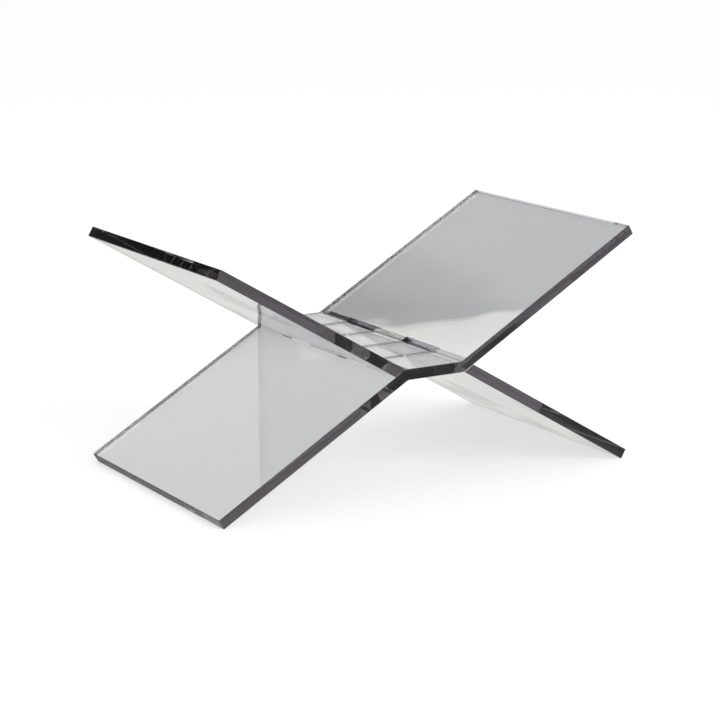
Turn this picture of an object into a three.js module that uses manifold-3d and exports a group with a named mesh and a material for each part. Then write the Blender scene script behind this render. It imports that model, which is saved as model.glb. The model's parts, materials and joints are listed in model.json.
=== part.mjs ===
// Folding bookstand of bent acrylic sheet: two X-crossed leaves that hinge where their fingers interleave.
// Units are millimetres. +X runs across the open book, +Y along the spine away from the reader's near end,
// +Z is up. The origin is on the table, midway between the feet.
//
// Both leaves are bent from equal blanks: a foot, a flat and a wing. The slotted leaf's foot is on the left and
// its wing on the right, and two windows in its flat take the two tongues of the other leaf, whose wing is on
// the left and foot on the right. A closed ring can't be threaded through another, so the tongue leaf is two
// bent halves, put in from both sides and cemented where the tongues meet, under the spine of the book.
import * as THREE from 'three';
import { mergeVertices } from 'three/addons/utils/BufferGeometryUtils.js';
import Module from 'manifold-3d';

// Driving dimensions
const DEPTH = 250; // leaf size along the spine
const BLANK_LENGTH = 494; // each leaf before it is bent, along the middle of the sheet
const FLAT_LENGTH = 60; // between the slotted leaf's two bends, along the middle of the sheet
const SHEET = 10; // sheet thickness
const SLOPE = THREE.MathUtils.degToRad(30); // the slotted leaf's wing and foot to the horizontal
const BEND_RADIUS = 4; // inside of a bend
const ARRIS = 0.5; // small flat polished along the outer edges
const TONGUES = 2; // fingers of the tongue leaf; the slotted leaf has one more
const CUT_CORNER = 0.8; // plan radius in the corners of windows and notches
const SIDE_GAP = 0.5; // beside each tongue
const SEAT_GAP = 0.3; // where a leaf bears on the other
const SWING_GAP = 0.5; // round the outer corners that swing past a cut end
const CEMENT = 0.25; // film of cement in each tongue's butt joint
const ARC_STEPS = 3; // pairs of facets along a bend or a corner

// Worked out from them
const HALF = SHEET / 2;
const OUTER_RADIUS = BEND_RADIUS + SHEET;
const FINGER = DEPTH / (2 * TONGUES + 1); // pitch of the interleaved fingers
const fingerStart = (index) => -DEPTH / 2 + index * FINGER;

// A leaf in side view, about the hinge: how far its bends lie from the hinge, its slope, and its plates' length
// from bend to end. along runs up its wing and across is square to that. A face's corner lies mitre nearer or
// further than the middle of the sheet's does. rise is how far its feet stand below the hinge.
function leafSizes(bend, slope) {
  const plate = BLANK_LENGTH / 2 - bend;
  return {
    bend,
    slope,
    plate,
    along: new THREE.Vector2(Math.cos(slope), Math.sin(slope)),
    across: new THREE.Vector2(-Math.sin(slope), Math.cos(slope)),
    mitre: HALF * Math.tan(slope / 2),
    rise: (plate - ARRIS) * Math.sin(slope) + HALF * Math.cos(slope),
  };
}

const slotted = leafSizes(FLAT_LENGTH / 2, SLOPE);

// The tongue leaf's inside corners sit just outside the slotted leaf's outside corners, so its flat is longer
// and its plates shorter. They slope a little more, so that all four ends stand level with the other leaf's.
const tongueBend = slotted.bend + 2 * slotted.mitre + SEAT_GAP;
const tongueReach = BLANK_LENGTH / 2 - tongueBend - ARRIS;
const tongueSlope = Math.asin(slotted.rise / Math.hypot(tongueReach, HALF)) - Math.atan2(HALF, tongueReach);
const tongued = leafSizes(tongueBend, tongueSlope);

const wasm = await Module();
wasm.setup();

const toSolid = (geometry) => {
  geometry.deleteAttribute('normal');
  geometry.deleteAttribute('uv');
  const merged = mergeVertices(geometry, 1e-4);
  return new wasm.Manifold(new wasm.Mesh({
    numProp: 3,
    vertProperties: new Float32Array(merged.attributes.position.array),
    triVerts: new Uint32Array(merged.index.array),
  }));
};

const toGeometry = (solid) => {
  const mesh = solid.getMesh();
  const geometry = new THREE.BufferGeometry();
  geometry.setAttribute('position', new THREE.BufferAttribute(mesh.vertProperties, 3));
  geometry.setIndex(new THREE.BufferAttribute(mesh.triVerts, 1));
  geometry.computeVertexNormals();
  return geometry;
};

// Side view with the foot on the left and the wing on the right. Half a turn maps it onto itself, so the upper
// face and the wing's end are drawn, and then the same again half a turn on.
function leafOutline(leaf) {
  const shape = new THREE.Shape();
  const arcX = leaf.bend - leaf.mitre - BEND_RADIUS * Math.tan(leaf.slope / 2);
  const arcZ = HALF + BEND_RADIUS;
  const up = Math.PI / 2;
  for (const turn of [0, Math.PI]) {
    const side = Math.cos(turn);
    shape.absarc(-side * arcX, -side * arcZ, OUTER_RADIUS, turn + up + leaf.slope, turn + up, true);
    shape.absarc(side * arcX, side * arcZ, BEND_RADIUS, turn - up, turn - up + leaf.slope, false);
    for (const [inward, offset] of [[ARRIS, HALF], [0, HALF - ARRIS], [0, ARRIS - HALF], [ARRIS, -HALF]]) {
      const corner = new THREE.Vector2(leaf.bend, 0)
        .addScaledVector(leaf.along, leaf.plate - inward)
        .addScaledVector(leaf.across, offset)
        .multiplyScalar(side);
      shape.lineTo(corner.x, corner.y);
    }
  }
  shape.closePath();
  return shape;
}

// The outline drawn along the spine, with the arris round both end faces.
function bentSheet(leaf) {
  const sheet = new THREE.ExtrudeGeometry(leafOutline(leaf), {
    depth: DEPTH - 2 * ARRIS,
    curveSegments: ARC_STEPS,
    bevelThickness: ARRIS,
    bevelSize: ARRIS,
    bevelOffset: -ARRIS,
    bevelSegments: 1,
  });
  sheet.translate(0, 0, ARRIS - DEPTH / 2);
  sheet.rotateX(Math.PI / 2);
  return toSolid(sheet);
}

// A cut down through the flat between y0 and y1, halfLength either way at the hinge's height. Its end walls
// lean: x grows by lean for each unit of height.
function leaningCut(halfLength, lean, y0, y1) {
  const r = CUT_CORNER;
  const plan = new THREE.Shape();
  plan.absarc(halfLength - r, y0 + r, r, -Math.PI / 2, 0, false);
  plan.absarc(halfLength - r, y1 - r, r, 0, Math.PI / 2, false);
  plan.absarc(r - halfLength, y1 - r, r, Math.PI / 2, Math.PI, false);
  plan.absarc(r - halfLength, y0 + r, r, Math.PI, 1.5 * Math.PI, false);
  plan.closePath();
  const height = 3 * SHEET; // past both faces, at the end walls too
  const cut = new THREE.ExtrudeGeometry(plan, { depth: height, curveSegments: ARC_STEPS, bevelEnabled: false });
  cut.translate(0, 0, -height / 2);
  cut.applyMatrix4(new THREE.Matrix4().set(
    1, 0, lean, 0,
    0, 1, 0, 0,
    0, 0, 1, 0,
    0, 0, 0, 1,
  ));
  return toSolid(cut);
}

// Windows: the end wall's upper edge clears the tongue leaf's corner as it swings past, and its lower edge
// clears that leaf's foot, which passes under it. The wall is never steeper than square to the sheet.
function slottedLeaf() {
  const swinging = new THREE.Vector2(tongued.bend + tongued.mitre, HALF);
  const swing = swinging.length() + SWING_GAP;
  const insideCorner = new THREE.Vector2(slotted.bend - slotted.mitre, HALF);
  const cornerAlong = insideCorner.dot(slotted.along);
  const upFromCorner = Math.sqrt(cornerAlong ** 2 - insideCorner.lengthSq() + swing ** 2) - cornerAlong;
  const upperEdge = insideCorner.clone().addScaledVector(slotted.along, upFromCorner);

  const outsideCorner = new THREE.Vector2(slotted.bend + slotted.mitre, -HALF);
  const acrossFoot = new THREE.Vector2(Math.sin(tongued.slope), Math.cos(tongued.slope));
  const toFoot = swinging.dot(acrossFoot) + SEAT_GAP - outsideCorner.dot(acrossFoot);
  const clearOfFoot = toFoot / slotted.along.dot(acrossFoot);
  const squareToSheet = upFromCorner + 2 * slotted.mitre;
  const lowerEdge = outsideCorner.clone().addScaledVector(slotted.along, Math.max(clearOfFoot, squareToSheet));

  const lean = (lowerEdge.x - upperEdge.x) / (lowerEdge.y - upperEdge.y);
  const halfLength = upperEdge.x - lean * upperEdge.y;
  let leaf = bentSheet(slotted);
  for (let i = 0; i < TONGUES; i += 1) {
    const y0 = fingerStart(2 * i + 1);
    leaf = leaf.subtract(leaningCut(halfLength, lean, y0, y0 + FINGER));
  }
  return leaf;
}

// Notches: their end walls lie along the slotted leaf's plates, and rest on them when the stand is open.
function tongueLeaf() {
  const plateFace = new THREE.Vector2(-slotted.bend - slotted.mitre, HALF).dot(slotted.across);
  const halfLength = (plateFace + SEAT_GAP) / slotted.along.y;
  const lean = slotted.along.x / slotted.along.y;
  let leaf = bentSheet(tongued).mirror([1, 0, 0]);
  for (let i = 0; i <= TONGUES; i += 1) {
    const y0 = i === 0 ? -DEPTH : fingerStart(2 * i) - SIDE_GAP;
    const y1 = i === TONGUES ? DEPTH : fingerStart(2 * i + 1) + SIDE_GAP;
    leaf = leaf.subtract(leaningCut(halfLength, lean, y0, y1));
  }
  return leaf;
}

// One half of the tongue leaf: side is -1 for the wing's half and 1 for the foot's.
function tongueHalf(side) {
  const size = 2 * Math.ceil(BLANK_LENGTH); // a whole number keeps the cut face exact in 32-bit coordinates
  const keep = new THREE.BoxGeometry(size, size, size);
  keep.translate(side * (size + CEMENT) / 2, 0, 0);
  return tongueLeaf().intersect(toSolid(keep));
}

const smokeAcrylic = () => new THREE.MeshStandardMaterial({
  color: 0x9a9a9f, roughness: 0.04, metalness: 0, transparent: true, opacity: 0.4,
});
const clearCement = () => new THREE.MeshStandardMaterial({
  color: 0x6e6c72, roughness: 0.2, metalness: 0, transparent: true, opacity: 0.6,
});

const bookstand = new THREE.Group();
const aboutHinge = new THREE.Group(); // the pieces are drawn about the hinge line
aboutHinge.position.z = slotted.rise;
bookstand.add(aboutHinge);

function addPiece(name, geometry, material) {
  const piece = new THREE.Mesh(geometry, material);
  piece.name = name;
  aboutHinge.add(piece);
  return piece;
}

addPiece('slotted_leaf', toGeometry(slottedLeaf()), smokeAcrylic());
addPiece('tongue_leaf_wing', toGeometry(tongueHalf(-1)), smokeAcrylic());
addPiece('tongue_leaf_foot', toGeometry(tongueHalf(1)), smokeAcrylic());
['cement_joint_near', 'cement_joint_far'].forEach((name, i) => {
  const film = new THREE.BoxGeometry(CEMENT, FINGER - 2 * SIDE_GAP, SHEET);
  addPiece(name, film, clearCement()).position.y = fingerStart(2 * i + 1) + FINGER / 2;
});

export default bookstand;
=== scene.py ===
import json
import math

import bmesh
import bpy
from mathutils import Matrix, Vector


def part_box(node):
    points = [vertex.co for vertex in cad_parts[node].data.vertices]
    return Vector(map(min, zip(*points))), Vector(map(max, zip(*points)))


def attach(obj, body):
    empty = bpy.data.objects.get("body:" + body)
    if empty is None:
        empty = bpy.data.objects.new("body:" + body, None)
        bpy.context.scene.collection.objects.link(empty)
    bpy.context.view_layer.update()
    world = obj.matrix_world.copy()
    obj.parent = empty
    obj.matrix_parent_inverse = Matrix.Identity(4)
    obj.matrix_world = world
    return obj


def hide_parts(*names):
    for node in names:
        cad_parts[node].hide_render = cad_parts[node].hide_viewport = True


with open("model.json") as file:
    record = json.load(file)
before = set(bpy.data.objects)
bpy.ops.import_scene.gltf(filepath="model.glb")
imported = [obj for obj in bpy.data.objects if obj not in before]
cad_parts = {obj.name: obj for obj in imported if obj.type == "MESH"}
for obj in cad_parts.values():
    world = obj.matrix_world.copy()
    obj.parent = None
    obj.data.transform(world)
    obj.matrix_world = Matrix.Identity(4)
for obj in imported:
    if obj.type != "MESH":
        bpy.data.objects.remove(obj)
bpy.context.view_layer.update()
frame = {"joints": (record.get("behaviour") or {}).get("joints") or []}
print("frame loaded")

scene = bpy.context.scene
nodeLow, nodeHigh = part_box("slotted_leaf")
filmLow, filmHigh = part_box("cement_joint_near")
hinge = Vector(frame["joints"][0]["pos_m"])  # the leaves turn about this line

# values are in metres and degrees
blank = {
    "depth": nodeHigh.y - nodeLow.y,  # along the spine
    "length": 0.494,  # before bending, along the middle of the sheet
    "sheet": filmHigh.z - filmLow.z,  # the cement film is as high as the sheet is thick
    "bendRadius": 0.004,  # inside the bend
    "bendSteps": 20,
    "arris": 0.0005,  # the flat polished along the edges, worn round
    "arrisSteps": 4,
    "sharpAngle": 60,  # between the faces at an edge that gets the arris
    "cutArris": 0.0003,  # round the windows and notches
    "cutArrisSteps": 2,
    "creaseAngle": 35,  # at an edge of a cut, and where the shading breaks
}
half = blank["sheet"] / 2


def leafSizes(bend, slope):
    return {
        "bend": bend,  # bend to hinge
        "slope": slope,  # in radians
        "plate": blank["length"] / 2 - bend,  # bend to end
        "along": Vector((math.cos(slope), 0, math.sin(slope))),  # up the wing
        "across": Vector((-math.sin(slope), 0, math.cos(slope))),
        "mitre": half * math.tan(slope / 2),  # how much nearer or further a face's corner lies
    }


fingers = {
    "flat": 0.060,  # between the slotted leaf's bends
    "slope": 30,  # its wing and foot to the table
    "tongues": 2,
    "corner": 0.0008,  # radius in the corners of windows and notches
    "cornerSteps": 4,
    "sideGap": 0.0005,  # beside each tongue
    "seatGap": 0.0003,  # where a leaf bears on the other
    "swingGap": 0.0005,  # round the outer corners that swing past a cut end
}
slotted = leafSizes(fingers["flat"] / 2, math.radians(fingers["slope"]))

# the tongue leaf's bends sit just outside the slotted leaf's, and its feet reach the same table
tongueBend = slotted["bend"] + 2 * slotted["mitre"] + fingers["seatGap"]
tongueReach = blank["length"] / 2 - tongueBend - blank["arris"]
tongueSlope = math.asin(hinge.z / math.hypot(tongueReach, half)) - math.atan2(half, tongueReach)
tongued = leafSizes(tongueBend, tongueSlope)
fingerPitch = blank["depth"] / (2 * fingers["tongues"] + 1)


def fingerStart(index):
    return nodeLow.y + index * fingerPitch


def makeObject(name, bm):
    mesh = bpy.data.meshes.new(name)
    bm.to_mesh(mesh)
    bm.free()
    piece = bpy.data.objects.new(name, mesh)
    scene.collection.objects.link(piece)
    return piece


def bentSheet(leaf):  # side view first, foot on the left, then drawn out along the spine
    bm = bmesh.new()
    inside = Vector((leaf["bend"] - leaf["mitre"], 0, half))
    outside = Vector((leaf["bend"] + leaf["mitre"], 0, -half))
    end = Vector((leaf["bend"], 0, 0)) + leaf["along"] * leaf["plate"]
    start = Vector((0, nodeLow.y, 0))
    outline = []
    rounded = {blank["bendRadius"]: [], blank["bendRadius"] + blank["sheet"]: []}
    for side in (1, -1):  # half a turn maps the outline onto itself
        for corner in (inside, end + leaf["across"] * half, end - leaf["across"] * half, outside):
            outline.append(bm.verts.new(start + side * corner))
        rounded[blank["bendRadius"]].append(outline[-4])
        rounded[blank["bendRadius"] + blank["sheet"]].append(outline[-1])
    bm.faces.new(outline)
    for radius, corners in rounded.items():
        toTangent = radius * math.tan(leaf["slope"] / 2)
        bmesh.ops.bevel(bm, geom=corners, offset=toTangent, offset_type="OFFSET", affect="VERTICES",
                        segments=blank["bendSteps"], profile=0.5, material=-1)
    grown = bmesh.ops.extrude_face_region(bm, geom=bm.faces[:])["geom"]
    bmesh.ops.translate(bm, verts=[v for v in grown if isinstance(v, bmesh.types.BMVert)],
                        vec=(0, blank["depth"], 0))
    bmesh.ops.recalc_face_normals(bm, faces=bm.faces)
    # a round as low and as wide as the flat arris it stands for
    turned = math.sin(leaf["slope"]) + math.cos(leaf["slope"]) - 1
    rounding = blank["arris"] * math.sin(leaf["slope"]) / turned
    sharp = [e for e in bm.edges if e.calc_face_angle() > math.radians(blank["sharpAngle"])]
    bmesh.ops.bevel(bm, geom=sharp, offset=rounding, offset_type="OFFSET", affect="EDGES",
                    segments=blank["arrisSteps"], profile=0.5, material=-1)
    return bm


def leaningCut(halfLength, lean, y0, y1):  # the end walls move lean towards +X for each unit up
    bm = bmesh.new()
    bmesh.ops.create_cube(bm, size=1)
    height = 3 * blank["sheet"]  # past both faces, at the end walls too
    bmesh.ops.scale(bm, verts=bm.verts, vec=(2 * halfLength, y1 - y0, height))
    upright = [e for e in bm.edges if abs(e.verts[0].co.z - e.verts[1].co.z) > blank["sheet"]]
    bmesh.ops.bevel(bm, geom=upright, offset=fingers["corner"], offset_type="OFFSET", affect="EDGES",
                    segments=fingers["cornerSteps"], profile=0.5, material=-1)
    shear = Matrix.Identity(4)
    shear[0][2] = lean
    bmesh.ops.transform(bm, verts=bm.verts, matrix=shear)
    bmesh.ops.translate(bm, verts=bm.verts, vec=(0, (y0 + y1) / 2, 0))
    return makeObject("cut", bm)


def applyModifiers(piece):
    shaped = bpy.data.meshes.new_from_object(piece.evaluated_get(bpy.context.evaluated_depsgraph_get()))
    piece.modifiers.clear()
    piece.data = shaped


def cutAway(piece, cuts):
    for cut in cuts:
        boolean = piece.modifiers.new("cut", "BOOLEAN")
        boolean.object = cut
        boolean.operation = "DIFFERENCE"
        boolean.solver = "EXACT"
    applyModifiers(piece)
    for cut in cuts:
        bpy.data.objects.remove(cut)


def breakEdges(piece):
    bevel = piece.modifiers.new("arris", "BEVEL")
    bevel.width = blank["cutArris"]
    bevel.segments = blank["cutArrisSteps"]
    bevel.limit_method = "ANGLE"
    bevel.angle_limit = math.radians(blank["creaseAngle"])
    bevel.use_clamp_overlap = False
    applyModifiers(piece)


def slottedLeaf():
    swinging = Vector((tongued["bend"] + tongued["mitre"], 0, half))  # the tongue leaf's outer corner
    swing = swinging.length + fingers["swingGap"]
    inside = Vector((slotted["bend"] - slotted["mitre"], 0, half))
    cornerAlong = inside.dot(slotted["along"])
    upFromCorner = math.sqrt(cornerAlong**2 - inside.length_squared + swing**2) - cornerAlong
    upperEdge = inside + slotted["along"] * upFromCorner
    outside = Vector((slotted["bend"] + slotted["mitre"], 0, -half))
    acrossFoot = Vector((math.sin(tongued["slope"]), 0, math.cos(tongued["slope"])))
    toFoot = swinging.dot(acrossFoot) + fingers["seatGap"] - outside.dot(acrossFoot)
    clearOfFoot = toFoot / slotted["along"].dot(acrossFoot)
    lowerEdge = outside + slotted["along"] * max(clearOfFoot, upFromCorner + 2 * slotted["mitre"])
    lean = (lowerEdge.x - upperEdge.x) / (lowerEdge.z - upperEdge.z)
    halfLength = upperEdge.x - lean * upperEdge.z
    piece = makeObject("slotted_sheet", bentSheet(slotted))
    windows = [fingerStart(2 * i + 1) for i in range(fingers["tongues"])]
    cutAway(piece, [leaningCut(halfLength, lean, y0, y0 + fingerPitch) for y0 in windows])
    breakEdges(piece)
    return piece


def tongueLeaf():
    plateFace = Vector((-slotted["bend"] - slotted["mitre"], 0, half)).dot(slotted["across"])
    halfLength = (plateFace + fingers["seatGap"]) / slotted["along"].z
    lean = slotted["along"].x / slotted["along"].z
    bm = bentSheet(tongued)
    bmesh.ops.scale(bm, verts=bm.verts, vec=(-1, 1, 1))
    bmesh.ops.recalc_face_normals(bm, faces=bm.faces)
    piece = makeObject("tongue_sheet", bm)
    notches = []
    for i in range(fingers["tongues"] + 1):  # the outer two run past the sheet's ends
        y0 = 2 * nodeLow.y if i == 0 else fingerStart(2 * i) - fingers["sideGap"]
        y1 = 2 * nodeHigh.y if i == fingers["tongues"] else fingerStart(2 * i + 1) + fingers["sideGap"]
        notches.append(leaningCut(halfLength, lean, y0, y1))
    cutAway(piece, notches)
    breakEdges(piece)
    return piece


def tongueHalf(whole, name, side):
    bm = bmesh.new()
    bm.from_mesh(whole.data)
    face = Vector((side * filmHigh.x, 0, 0))
    sliced = bmesh.ops.bisect_plane(bm, geom=bm.verts[:] + bm.edges[:] + bm.faces[:], plane_co=face,
                                    plane_no=(side, 0, 0), clear_inner=True)["geom_cut"]
    bmesh.ops.edgenet_fill(bm, edges=[e for e in sliced if isinstance(e, bmesh.types.BMEdge)])
    bmesh.ops.recalc_face_normals(bm, faces=bm.faces)
    return makeObject(name, bm)


def standUp(piece):  # drawn about the hinge line, then lifted to it
    piece.data.transform(Matrix.Translation(hinge))
    for face in piece.data.polygons:
        face.use_smooth = True
    piece.data.set_sharp_from_angle(angle=math.radians(blank["creaseAngle"]))
    weighted = piece.modifiers.new("flat faces", "WEIGHTED_NORMAL")
    weighted.keep_sharp = True


slottedSheet = slottedLeaf()
print("slotted leaf made")
wholeTongue = tongueLeaf()
wingSheet = tongueHalf(wholeTongue, "tongue_wing_sheet", -1)
footSheet = tongueHalf(wholeTongue, "tongue_foot_sheet", 1)
bpy.data.objects.remove(wholeTongue)
for sheet in (slottedSheet, wingSheet, footSheet):
    standUp(sheet)
print("tongue leaf made")

cement = {
    "ior": 1.49,
    "roughness": 0.05,
    "tint": (0.55, 0.52, 0.56),
    "density": 60,
    "overlap": 0.00002,  # into each half, so that no air shows between
}


def cementFilm(node):
    low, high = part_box(node)
    bm = bmesh.new()
    bmesh.ops.create_cube(bm, size=1)
    grown = high - low + Vector((2 * cement["overlap"], 0, 0))
    bmesh.ops.scale(bm, verts=bm.verts, vec=grown)
    bmesh.ops.translate(bm, verts=bm.verts, vec=(low + high) / 2)
    film = makeObject(node.replace("joint", "film"), bm)
    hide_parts(node)
    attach(film, "tongue_leaf")
    return film


films = [cementFilm(node) for node in ("cement_joint_near", "cement_joint_far")]
print("cement joints made")


def newMaterial(name):
    material = bpy.data.materials.new(name)
    material.use_nodes = True
    nodes = material.node_tree.nodes
    return material, nodes, material.node_tree.links, nodes["Principled BSDF"], nodes["Material Output"]


acrylic = {
    "ior": 1.49,
    "smoke": (0.545, 0.550, 0.561),  # what a plate lets through
    "edgeSmoke": (0.540, 0.485, 0.565),  # the long way through the sheet looks purple
    "edgeTurn": (0.80, 0.70),  # a normal's upright part, where a broad face turns into an edge
    "sideTurn": (0.3, 0.6),  # its part along the spine, where an end turns into a side
    "sidePaintedShade": (0.24, 0.78),  # painted shade at a cut side: the share of black matt mixed in, met from outside and from inside
    "endPaintedShade": (0.38, 0.0),  # the same painted shade at the ends of wings and feet
    "jointHalfWidth": 0.001,  # the cemented faces at the middle get no painted shade
    "faceRoughness": (0.0, 0.02),  # clean, and where a hand has smudged it
    "edgeRoughness": (0.0, 0.015),
    "smudgeScale": 9,
    "smudgeDetail": 4,
    "smudgeRange": (0.35, 0.70),
    "waveScale": 14,
    "waveHeight": 0.0003,
}


def smokeAcrylic():
    material, nodes, links, shader, output = newMaterial("smoke acrylic")
    shader.inputs["Transmission Weight"].default_value = 1
    shader.inputs["IOR"].default_value = acrylic["ior"]
    place = nodes.new("ShaderNodeTexCoord")

    def distance(socket, axis):
        split = nodes.new("ShaderNodeSeparateXYZ")
        links.new(place.outputs[socket], split.inputs[0])
        size = nodes.new("ShaderNodeMath")
        size.operation = "ABSOLUTE"
        links.new(split.outputs[axis], size.inputs[0])
        return size.outputs[0]

    def ranged(value, start, end, low, high):
        node = nodes.new("ShaderNodeMapRange")
        links.new(value, node.inputs["Value"])
        limits = {"From Min": start, "From Max": end, "To Min": low, "To Max": high}
        for name, number in limits.items():
            node.inputs[name].default_value = number
        return node.outputs[0]

    def mixed(factor, first, second):
        node = nodes.new("ShaderNodeMix")
        links.new(factor, node.inputs["Factor"])
        links.new(first, node.inputs["A"])
        links.new(second, node.inputs["B"])
        return node.outputs[0]

    def product(first, second):
        node = nodes.new("ShaderNodeMath")
        node.operation = "MULTIPLY"
        links.new(first, node.inputs[0])
        links.new(second, node.inputs[1])
        return node.outputs[0]

    isEdge = ranged(distance("Normal", "Z"), *acrylic["edgeTurn"], 0, 1)  # the broad faces look up or down
    awayFromJoint = nodes.new("ShaderNodeMath")
    awayFromJoint.operation = "GREATER_THAN"
    awayFromJoint.inputs[1].default_value = acrylic["jointHalfWidth"]
    links.new(distance("Object", "X"), awayFromJoint.inputs[0])
    edge = product(isEdge, awayFromJoint.outputs[0])

    sideways = distance("Normal", "Y")
    # painted shade: the cut sides and ends are darkened by a black matt share, set apart for faces met
    # from outside and from inside
    paintedShades = zip(acrylic["endPaintedShade"], acrylic["sidePaintedShade"])
    outside, inside = [ranged(sideways, *acrylic["sideTurn"], end, side) for end, side in paintedShades]
    paintedShade = mixed(nodes.new("ShaderNodeNewGeometry").outputs["Backfacing"], outside, inside)

    colour = nodes.new("ShaderNodeMix")
    colour.data_type = "RGBA"
    colour.inputs["A"].default_value = (*acrylic["smoke"], 1)
    colour.inputs["B"].default_value = (*acrylic["edgeSmoke"], 1)
    links.new(edge, colour.inputs["Factor"])
    links.new(colour.outputs["Result"], shader.inputs["Base Color"])
    # the black matt that paints shade onto the cut sides and ends
    dark = nodes.new("ShaderNodeBsdfDiffuse")
    dark.inputs["Color"].default_value = (0, 0, 0, 1)
    paintedShadeMix = nodes.new("ShaderNodeMixShader")
    links.new(product(edge, paintedShade), paintedShadeMix.inputs[0])
    links.new(shader.outputs[0], paintedShadeMix.inputs[1])
    links.new(dark.outputs[0], paintedShadeMix.inputs[2])
    links.new(paintedShadeMix.outputs[0], output.inputs["Surface"])

    smudge = nodes.new("ShaderNodeTexNoise")
    smudge.inputs["Scale"].default_value = acrylic["smudgeScale"]
    smudge.inputs["Detail"].default_value = acrylic["smudgeDetail"]
    links.new(place.outputs["Object"], smudge.inputs["Vector"])
    onFace = ranged(smudge.outputs[0], *acrylic["smudgeRange"], *acrylic["faceRoughness"])
    onEdge = ranged(smudge.outputs[0], *acrylic["smudgeRange"], *acrylic["edgeRoughness"])
    links.new(mixed(isEdge, onFace, onEdge), shader.inputs["Roughness"])

    wave = nodes.new("ShaderNodeTexNoise")  # the sheet is cast, so its faces are not quite flat
    wave.inputs["Scale"].default_value = acrylic["waveScale"]
    wave.inputs["Detail"].default_value = 0
    bump = nodes.new("ShaderNodeBump")
    bump.inputs["Distance"].default_value = acrylic["waveHeight"]
    links.new(place.outputs["Object"], wave.inputs["Vector"])
    links.new(wave.outputs[0], bump.inputs["Height"])
    links.new(bump.outputs[0], shader.inputs["Normal"])
    return material


def clearCement():
    material, nodes, links, shader, output = newMaterial("clear cement")
    shader.inputs["Base Color"].default_value = (1, 1, 1, 1)
    shader.inputs["Transmission Weight"].default_value = 1
    shader.inputs["IOR"].default_value = cement["ior"]
    shader.inputs["Roughness"].default_value = cement["roughness"]
    volume = nodes.new("ShaderNodeVolumeAbsorption")
    volume.inputs["Color"].default_value = (*cement["tint"], 1)
    volume.inputs["Density"].default_value = cement["density"]
    links.new(volume.outputs[0], output.inputs["Volume"])
    return material


smoke = smokeAcrylic()
for sheet, node, body in (
    (slottedSheet, "slotted_leaf", "slotted_leaf"),
    (wingSheet, "tongue_leaf_wing", "tongue_leaf"),
    (footSheet, "tongue_leaf_foot", "tongue_leaf"),
):
    sheet.data.materials.clear()
    sheet.data.materials.append(smoke)
    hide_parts(node)
    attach(sheet, body)
clear = clearCement()
for film in films:
    film.data.materials.append(clear)
print("materials made")


stage = {
    "bounces": 32,  # light inside a sheet is mirrored many times before it leaves
    "floorRadius": 30,
    "floorSteps": 64,
    "floorColour": 0.6,
    "floorGlow": 0.585,  # brings the lit floor up to white for the eye
    "nearGlow": 1.03,  # the glow of the floor seen through the sheet, near the stand and far from it
    "farGlow": 0.70,
    "nearFar": (0.35, 0.70),  # from the origin
    "mirroredGlow": (0.74, 0.74, 0.71),  # the glow of the floor that polished faces mirror
    "throughColour": 0.12,  # through the sheet and in mirrors the floor shows less shadow
    "level": 1.06,  # light from the sides, and from straight above
    "overhead": 0.46,
    "horizon": 1.0,  # polished faces mirror a white horizon
    "darkSky": 0.10,  # and above it a dark sky, which is bright to the right
    "brightSky": 1.0,
    "skyTurn": (0.08, 0.125),  # from dark to bright, as the direction's part along +X
    "skyStart": (0.12, 0.32),  # from the horizon to the sky, as the sine of the elevation
}


def smoothRange(nodes, limits):
    node = nodes.new("ShaderNodeMapRange")
    node.interpolation_type = "SMOOTHSTEP"
    node.inputs["From Min"].default_value, node.inputs["From Max"].default_value = limits
    return node


# 1 for what is seen, mirrored or seen through the sheet, 0 for what lights a surface
def looked(nodes, links):
    path = nodes.new("ShaderNodeLightPath")
    total = path.outputs["Is Camera Ray"]
    for name in ("Is Glossy Ray", "Is Transmission Ray"):
        most = nodes.new("ShaderNodeMath")
        most.operation = "MAXIMUM"
        links.new(total, most.inputs[0])
        links.new(path.outputs[name], most.inputs[1])
        total = most.outputs[0]
    lit = nodes.new("ShaderNodeMath")  # light on its way to the floor through the sheet is not looked at
    lit.operation = "SUBTRACT"
    lit.use_clamp = True
    links.new(total, lit.inputs[0])
    links.new(path.outputs["Diffuse Depth"], lit.inputs[1])
    return lit.outputs[0]


def paleFloor():
    material, nodes, links, shader, output = newMaterial("pale floor")
    nodes.remove(shader)
    path = nodes.new("ShaderNodeLightPath")

    def choose(switch, first, second):
        node = nodes.new("ShaderNodeMix")
        node.data_type = "RGBA"
        links.new(switch, node.inputs["Factor"])
        for name, colour in (("A", first), ("B", second)):
            if isinstance(colour, tuple):
                node.inputs[name].default_value = (*colour, 1)
            else:
                links.new(colour, node.inputs[name])
        return node.outputs["Result"]

    def grey(name):
        return (stage[name],) * 3

    isLooked = looked(nodes, links)
    isSeen = path.outputs["Is Camera Ray"]
    matt = nodes.new("ShaderNodeBsdfDiffuse")
    colour = choose(isLooked, grey("floorColour"), grey("throughColour"))
    links.new(choose(isSeen, colour, grey("floorColour")), matt.inputs["Color"])
    glow = nodes.new("ShaderNodeEmission")
    distance = nodes.new("ShaderNodeVectorMath")
    distance.operation = "LENGTH"
    links.new(nodes.new("ShaderNodeNewGeometry").outputs["Position"], distance.inputs[0])
    far = smoothRange(nodes, stage["nearFar"])
    links.new(distance.outputs["Value"], far.inputs["Value"])
    through = choose(far.outputs[0], grey("nearGlow"), grey("farGlow"))
    mirrored = choose(path.outputs["Is Reflection Ray"], through, stage["mirroredGlow"])
    links.new(choose(isSeen, mirrored, grey("floorGlow")), glow.inputs["Color"])
    links.new(isLooked, glow.inputs["Strength"])
    both = nodes.new("ShaderNodeAddShader")
    links.new(matt.outputs[0], both.inputs[0])
    links.new(glow.outputs[0], both.inputs[1])
    links.new(both.outputs[0], output.inputs["Surface"])
    return material


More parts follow.
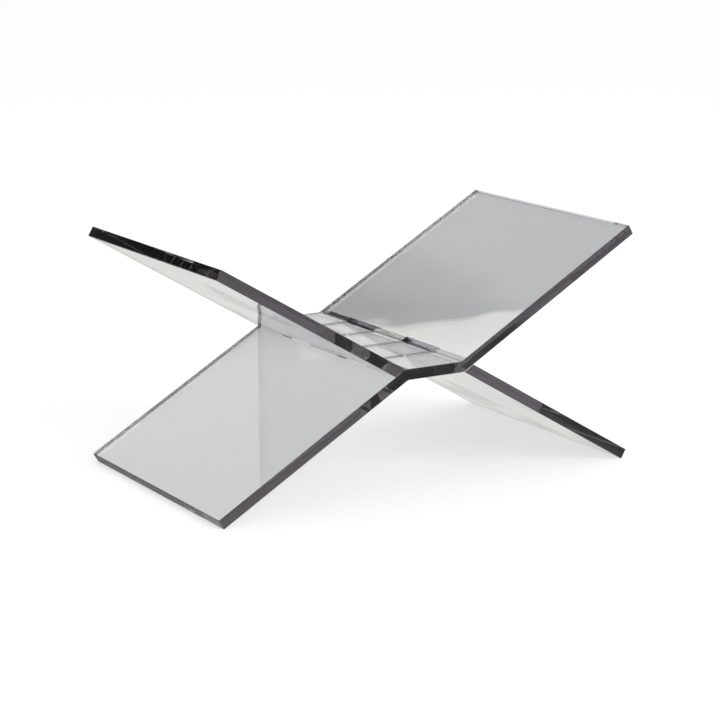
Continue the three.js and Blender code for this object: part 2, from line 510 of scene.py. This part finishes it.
bm = bmesh.new()
bmesh.ops.create_circle(bm, cap_ends=True, segments=stage["floorSteps"], radius=stage["floorRadius"])
floor = makeObject("floor", bm)
floor.data.materials.append(paleFloor())


def studioSky():
    world = bpy.data.worlds.new("studio")
    world.use_nodes = True
    nodes, links = world.node_tree.nodes, world.node_tree.links
    nodes.clear()
    place = nodes.new("ShaderNodeTexCoord")
    split = nodes.new("ShaderNodeSeparateXYZ")
    links.new(place.outputs["Generated"], split.inputs[0])
    grade = smoothRange(nodes, stage["skyStart"])
    grade.inputs["To Min"].default_value = stage["horizon"]
    links.new(split.outputs["Z"], grade.inputs["Value"])
    turn = smoothRange(nodes, stage["skyTurn"])
    turn.inputs["To Min"].default_value = stage["darkSky"]
    turn.inputs["To Max"].default_value = stage["brightSky"]
    links.new(split.outputs["X"], turn.inputs["Value"])
    links.new(turn.outputs[0], grade.inputs["To Max"])
    fromAbove = nodes.new("ShaderNodeMapRange")
    fromAbove.inputs["To Min"].default_value = stage["level"]
    fromAbove.inputs["To Max"].default_value = stage["overhead"]
    links.new(split.outputs["Z"], fromAbove.inputs["Value"])
    seen = nodes.new("ShaderNodeBackground")
    lighting = nodes.new("ShaderNodeBackground")
    for background, strength in ((seen, grade), (lighting, fromAbove)):
        background.inputs["Color"].default_value = (1, 1, 1, 1)
        links.new(strength.outputs[0], background.inputs["Strength"])
    either = nodes.new("ShaderNodeMixShader")
    links.new(looked(nodes, links), either.inputs[0])
    links.new(lighting.outputs[0], either.inputs[1])
    links.new(seen.outputs[0], either.inputs[2])
    links.new(either.outputs[0], nodes.new("ShaderNodeOutputWorld").inputs["Surface"])
    return world


scene.world = studioSky()

warm = (1, 1, 0.9)
plain = (1, 1, 1)
softboxes = {  # a radiance of 1 looks white
    "back": {
        "middle": (-0.054, 2.1, 1.7525),
        "size": (0.70, 1.7),
        "lean": 30,
        "radiance": 0.9,
        "tint": warm,
    },
    "strip": {  # along the back one's right edge, and nearer, because lamps in one plane hide each other
        "middle": (0.3675, 2.08, 1.873),
        "size": (0.09, 1.07),
        "lean": 30,
        "radiance": 0.95,
        "tint": warm,
    },
    "key": {
        "middle": (0.485, -2.0, 1.6),
        "size": (0.63, 0.6),
        "lean": 0,
        "radiance": 11,
        "tint": plain,
    },
    "fill": {
        "middle": (-0.165, -2.0, 1.2),
        "size": (0.57, 0.4),
        "lean": 0,
        "radiance": 11,
        "tint": plain,
    },
}


def addSoftbox(name, plan):
    light = bpy.data.lights.new(name, "AREA")
    light.shape = "RECTANGLE"
    light.size, light.size_y = plan["size"]
    light.color = plan["tint"]
    light.energy = plan["radiance"] * math.pi * light.size * light.size_y
    lamp = bpy.data.objects.new(name, light)
    lamp.visible_camera = False
    scene.collection.objects.link(lamp)
    facing = math.copysign(90, -plan["middle"][1])
    lamp.matrix_world = (
        Matrix.Translation(plan["middle"])
        @ Matrix.Rotation(math.radians(plan["lean"]), 4, "Y")
        @ Matrix.Rotation(math.radians(facing), 4, "X")  # upright, facing the stand
    )


for name, plan in softboxes.items():
    addSoftbox(name, plan)

cameraPlan = {
    "place": (-1.07188, -1.71509, 0.57316),
    "heading": 31.971,  # degrees from +Y towards +X
    "tilt": 13.238,  # below level
    "roll": 0.198,
    "lens": 110.49,  # millimetres, as the sensor's width is
    "sensor": 36,
    "clip": (0.05, 200),
}
camera = bpy.data.objects.new("camera", bpy.data.cameras.new("camera"))
scene.collection.objects.link(camera)
camera.data.sensor_width = cameraPlan["sensor"]
camera.data.lens = cameraPlan["lens"]
camera.data.clip_start, camera.data.clip_end = cameraPlan["clip"]
camera.matrix_world = (
    Matrix.Translation(cameraPlan["place"])
    @ Matrix.Rotation(math.radians(-cameraPlan["heading"]), 4, "Z")
    @ Matrix.Rotation(math.radians(90 - cameraPlan["tilt"]), 4, "X")
    @ Matrix.Rotation(math.radians(cameraPlan["roll"]), 4, "Z")
)
scene.camera = camera
scene.view_settings.view_transform = "Standard"
scene.cycles.max_bounces = stage["bounces"]
scene.cycles.glossy_bounces = stage["bounces"]
scene.cycles.transmission_bounces = stage["bounces"]
print("stage set")
